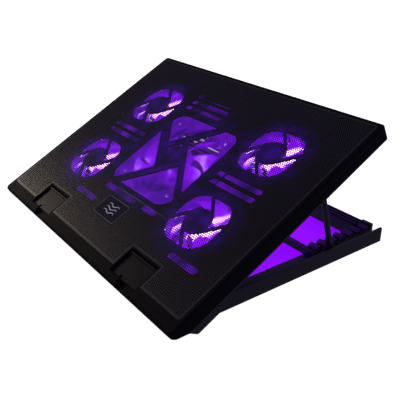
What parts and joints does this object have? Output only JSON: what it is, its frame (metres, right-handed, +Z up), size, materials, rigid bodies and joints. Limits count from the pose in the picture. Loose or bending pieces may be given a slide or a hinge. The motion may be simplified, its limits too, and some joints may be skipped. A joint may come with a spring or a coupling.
{
  "type": "laptop cooling pad",
  "caption": "Tilting laptop cooling pad: perforated black top over lit purple fans, flip-up front stops, hinged on a flat base frame and held up by a folding rod stand.",
  "frame": {"origin": "on the table, under the middle of the whole object's box", "axes": "+X to the user's right along the front edge, +Y to the back, +Z up"},
  "size_m": [0.38, 0.2892, 0.1459],
  "materials": {
    "black_plastic": "fine satin-textured moulded black plastic",
    "mesh_metal": "perforated steel sheet, satin black paint",
    "gloss_black": "glossy black plastic",
    "fan_clear": "clear plastic lit purple by its lamps",
    "steel": "bright plated steel",
    "motor_core": "dark laminated core and magnet",
    "led": "lit violet lamp",
    "board": "green circuit board",
    "foot_rubber": "matt black rubber",
    "rod_black": "black painted steel rod",
    "lead_rubber": "flat black lead"
  },
  "bodies": {
    "base": {"base_rail_left": "black_plastic", "base_rail_right": "black_plastic", "base_bar_front": "black_plastic", "base_bar_middle": "black_plastic", "base_bar_rear": "black_plastic", "base_feet": "foot_rubber"},
    "pad": {"top_shell": "black_plastic", "bottom_shell": "black_plastic", "mesh_panel": "mesh_metal", "nameplate": "gloss_black", "hinge_pins": "steel", "fan_leds": "led", "fan_screws": "steel", "case_screws": "steel", "fan_leads": "lead_rubber", "control_board": "board", "usb_socket_left": "steel", "usb_socket_right": "steel", "switch_housing_left": "black_plastic", "switch_housing_right": "black_plastic", "stop_pins": "steel", "prop_clips": "black_plastic", "fan_frame_centre": "fan_clear", "fan_frame_front_left": "fan_clear", "fan_frame_front_right": "fan_clear", "fan_frame_rear_left": "fan_clear", "fan_frame_rear_right": "fan_clear", "fan_stator_centre": "motor_core", "fan_stator_front_left": "motor_core", "fan_stator_front_right": "motor_core", "fan_stator_rear_left": "motor_core", "fan_stator_rear_right": "motor_core"},
    "prop": {"prop_stand": "rod_black", "prop_feet": "foot_rubber"},
    "stop_left": {"front_stop_left": "black_plastic"},
    "stop_right": {"front_stop_right": "black_plastic"},
    "rocker_left": {"switch_rocker_left": "gloss_black"},
    "rocker_right": {"switch_rocker_right": "gloss_black"},
    "rotor_centre": {"fan_rotor_centre": "fan_clear", "magnet_ring_centre": "motor_core"},
    "rotor_front_left": {"fan_rotor_front_left": "fan_clear", "magnet_ring_front_left": "motor_core"},
    "rotor_front_right": {"fan_rotor_front_right": "fan_clear", "magnet_ring_front_right": "motor_core"},
    "rotor_rear_left": {"fan_rotor_rear_left": "fan_clear", "magnet_ring_rear_left": "motor_core"},
    "rotor_rear_right": {"fan_rotor_rear_right": "fan_clear", "magnet_ring_rear_right": "motor_core"}
  },
  "joints": [
    {"name": "pad_tilt", "type": "hinge", "parent": "base", "child": "pad", "pos_m": [0, -0.09725, 0.015], "axis": [1, 0, 0], "range_deg": [-27.9, 0]},
    {"name": "prop_fold", "type": "hinge", "parent": "pad", "child": "prop", "pos_m": [0, 0.04769, 0.09174], "axis": [1, 0, 0], "range_deg": [0, 102]},
    {"name": "stop_left_flip", "type": "hinge", "parent": "pad", "child": "stop_left", "pos_m": [-0.0965, -0.11157, 0.0271], "axis": [-1, 0, 0], "range_deg": [0, 90]},
    {"name": "stop_right_flip", "type": "hinge", "parent": "pad", "child": "stop_right", "pos_m": [0.0965, -0.11157, 0.0271], "axis": [-1, 0, 0], "range_deg": [0, 90]},
    {"name": "rocker_left_tip", "type": "hinge", "parent": "pad", "child": "rocker_left", "pos_m": [-0.062, 0.11066, 0.13843], "axis": [0, -0.4679, 0.8838], "range_deg": [-16, 0]},
    {"name": "rocker_right_tip", "type": "hinge", "parent": "pad", "child": "rocker_right", "pos_m": [0.062, 0.11066, 0.13843], "axis": [0, -0.4679, 0.8838], "range_deg": [-16, 0]},
    {"name": "fan_centre_spin", "type": "hinge", "parent": "pad", "child": "rotor_centre", "pos_m": [0, -0.0083, 0.07567], "axis": [0, -0.4679, 0.8838], "continuous": true},
    {"name": "fan_front_left_spin", "type": "hinge", "parent": "pad", "child": "rotor_front_left", "pos_m": [-0.107, -0.05249, 0.05228], "axis": [0, -0.4679, 0.8838], "continuous": true},
    {"name": "fan_front_right_spin", "type": "hinge", "parent": "pad", "child": "rotor_front_right", "pos_m": [0.107, -0.05249, 0.05228], "axis": [0, -0.4679, 0.8838], "continuous": true},
    {"name": "fan_rear_left_spin", "type": "hinge", "parent": "pad", "child": "rotor_rear_left", "pos_m": [-0.107, 0.04119, 0.10188], "axis": [0, -0.4679, 0.8838], "continuous": true},
    {"name": "fan_rear_right_spin", "type": "hinge", "parent": "pad", "child": "rotor_rear_right", "pos_m": [0.107, 0.04119, 0.10188], "axis": [0, -0.4679, 0.8838], "continuous": true}
  ],
  "couplings": [
    {"joint": "prop_fold", "follows": "pad_tilt", "ratio": -3.6523}
  ]
}
